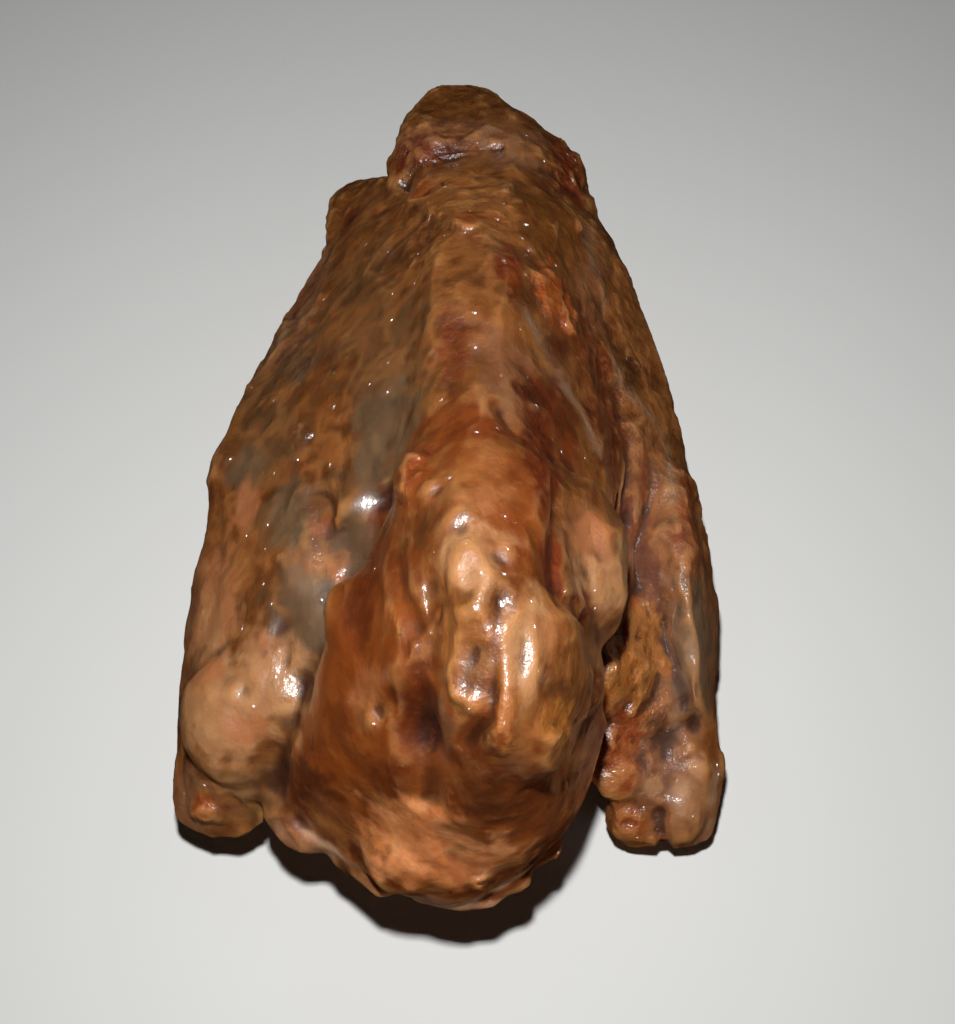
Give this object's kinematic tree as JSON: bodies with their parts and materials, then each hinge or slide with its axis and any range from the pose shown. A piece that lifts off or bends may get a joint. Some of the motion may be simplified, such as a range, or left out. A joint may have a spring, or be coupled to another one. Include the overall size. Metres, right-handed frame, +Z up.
{
  "type": "iron quartz crystal cluster",
  "caption": "Hand-sized natural cluster of iron-stained quartz crystals, wedge-shaped, lying on its side on a worn flat face.",
  "frame": {"origin": "centre of the bounding box, at the height of the rest face", "axes": "+Y along the crystals towards their narrow end, +Z up from the rest face, +X to the right of +Y"},
  "size_m": [0.049, 0.082, 0.044],
  "materials": {
    "iron_stained_quartz": "natural glassy quartz, smoky brown to orange, clouded by iron oxide, with wet-looking gloss"
  },
  "bodies": {
    "root": {"iron_quartz": "iron_stained_quartz"}
  },
  "joints": []
}
